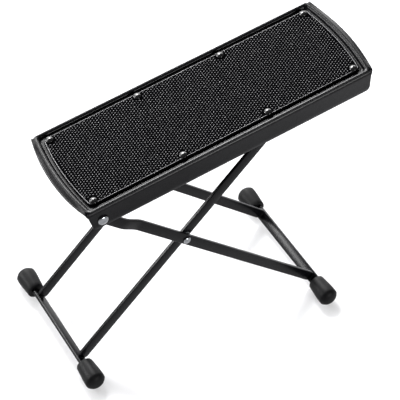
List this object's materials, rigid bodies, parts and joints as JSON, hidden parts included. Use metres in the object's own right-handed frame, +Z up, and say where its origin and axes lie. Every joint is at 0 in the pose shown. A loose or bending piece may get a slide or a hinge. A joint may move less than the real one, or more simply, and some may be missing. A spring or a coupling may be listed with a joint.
{
  "type": "guitar footrest",
  "caption": "Folding footrest: a tilted steel tray with a rubber mat on two crossed flat-bar leg frames, set in height by a rod and notched rack underneath.",
  "frame": {"origin": "on the floor under the middle of the object's outline, standing on its four feet in the highest setting", "axes": "+X along the tray towards its high end, +Y across the tray towards the back, +Z up"},
  "size_m": [0.255, 0.1426, 0.2361],
  "materials": {
    "black_powder_coat": "satin black powder coat",
    "black_mat_rubber": "matte, fine dot texture",
    "black_foot_rubber": "matte",
    "black_rivet_enamel": "glossy black enamel on steel rivets",
    "bright_zinc": "bright zinc plate",
    "dull_zinc": "plain zinc plate"
  },
  "bodies": {
    "tray": {"tray": "black_powder_coat", "rubber_mat": "black_mat_rubber", "mat_rivet_front_1": "black_rivet_enamel", "mat_rivet_front_2": "black_rivet_enamel", "mat_rivet_front_3": "black_rivet_enamel", "mat_rivet_front_4": "black_rivet_enamel", "mat_rivet_rear_1": "black_rivet_enamel", "mat_rivet_rear_2": "black_rivet_enamel", "mat_rivet_rear_3": "black_rivet_enamel", "mat_rivet_rear_4": "black_rivet_enamel", "height_rack_front": "black_powder_coat", "height_rack_rear": "black_powder_coat"},
    "pivot_rivets": {"pivot_rivet_front": "bright_zinc", "pivot_rivet_rear": "bright_zinc"},
    "outer_frame": {"outer_leg_front": "black_powder_coat", "outer_leg_rear": "black_powder_coat", "outer_crossbar": "black_powder_coat", "cross_rivet_front": "bright_zinc", "cross_rivet_rear": "bright_zinc", "cross_washer_front": "dull_zinc", "cross_washer_rear": "dull_zinc", "rubber_foot_outer_front": "black_foot_rubber", "rubber_foot_outer_rear": "black_foot_rubber"},
    "inner_frame": {"inner_leg_front": "black_powder_coat", "inner_leg_rear": "black_powder_coat", "inner_crossbar": "black_powder_coat", "locking_rod": "dull_zinc", "rubber_foot_inner_front": "black_foot_rubber", "rubber_foot_inner_rear": "black_foot_rubber"}
  },
  "joints": [
    {"name": "tray_lift", "type": "hinge", "parent": "tray", "child": "pivot_rivets", "pos_m": [-0.10693, 0, 0.17104], "axis": [0, 1, 0], "range_deg": [-1.5, 45]},
    {"name": "frame_fold", "type": "hinge", "parent": "pivot_rivets", "child": "outer_frame", "pos_m": [-0.10693, 0, 0.17104], "axis": [0, -1, 0], "range_deg": [0, 46]},
    {"name": "leg_cross", "type": "hinge", "parent": "outer_frame", "child": "inner_frame", "pos_m": [-0.02892, 0, 0.11202], "axis": [0, -1, 0], "range_deg": [-83, 0]}
  ],
  "couplings": [
    {"joint": "leg_cross", "follows": "frame_fold", "ratio": -1.8}
  ]
}
